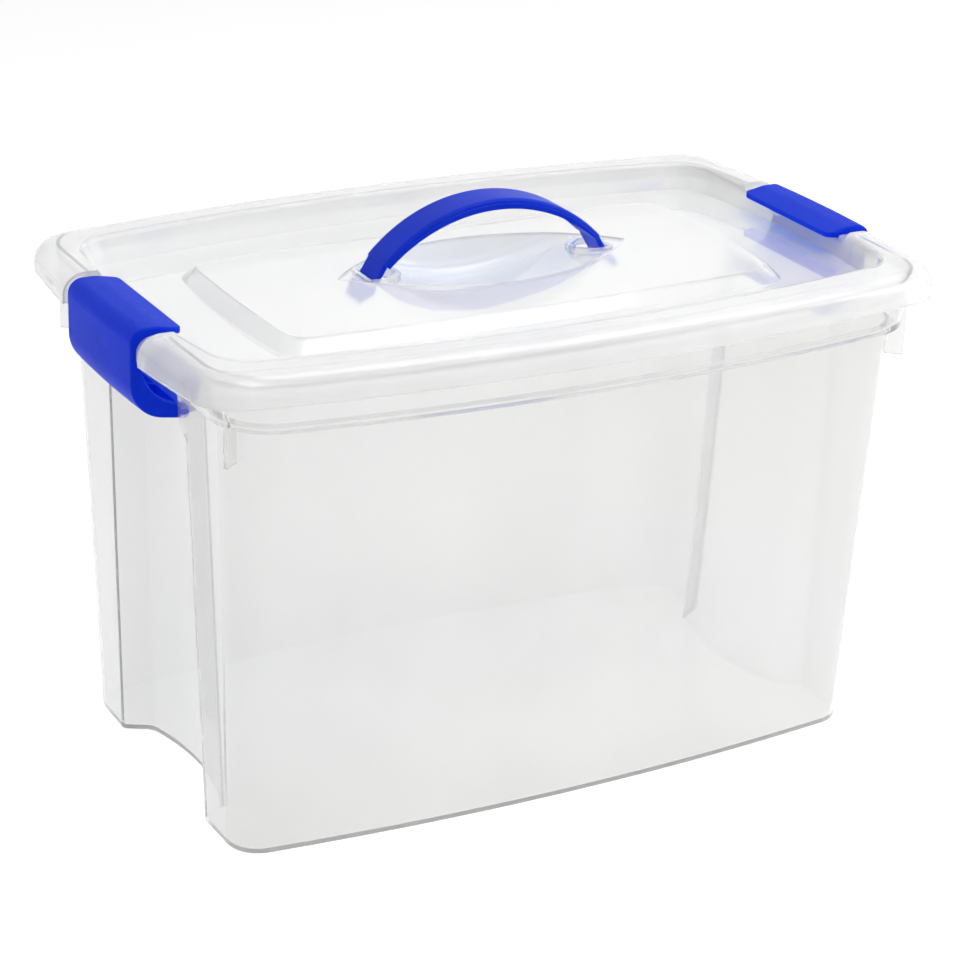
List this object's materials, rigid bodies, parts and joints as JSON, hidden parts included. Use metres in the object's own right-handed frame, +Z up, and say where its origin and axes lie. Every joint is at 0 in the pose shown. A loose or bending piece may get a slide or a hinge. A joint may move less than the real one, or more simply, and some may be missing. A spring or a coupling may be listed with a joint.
{
  "type": "plastic storage box",
  "caption": "Clear tapered file box with a clip-on lid, swinging blue end latches and an arched blue carrying handle.",
  "frame": {"origin": "centre of the flat base, on the surface that the box stands on", "axes": "+X along the length, from the left latch to the right one, +Y to the back, +Z up"},
  "size_m": [0.442, 0.2832, 0.3045],
  "materials": {
    "clear_tub": "translucent polypropylene",
    "clear_lid": "translucent polypropylene",
    "blue_handle": "satin",
    "blue_latch": "satin"
  },
  "bodies": {
    "tub": {"tub": "clear_tub"},
    "lid": {"lid": "clear_lid"},
    "handle": {"handle": "blue_handle"},
    "latch_left": {"latch_left": "blue_latch"},
    "latch_right": {"latch_right": "blue_latch"}
  },
  "joints": [
    {"name": "lid_lift", "type": "slide", "parent": "tub", "child": "lid", "axis": [0, 0, 1], "range_m": [0, 0.3]},
    {"name": "latch_left_hinge", "type": "hinge", "parent": "tub", "child": "latch_left", "pos_m": [-0.1918, 0, 0.227], "axis": [0, -1, 0], "range_deg": [0, 110]},
    {"name": "latch_right_hinge", "type": "hinge", "parent": "tub", "child": "latch_right", "pos_m": [0.1918, 0, 0.227], "axis": [0, 1, 0], "range_deg": [0, 110]},
    {"name": "handle_press", "type": "slide", "parent": "lid", "child": "handle", "axis": [0, 0, -1], "range_m": [0, 0.004], "stiffness_N_per_m": 1000}
  ]
}
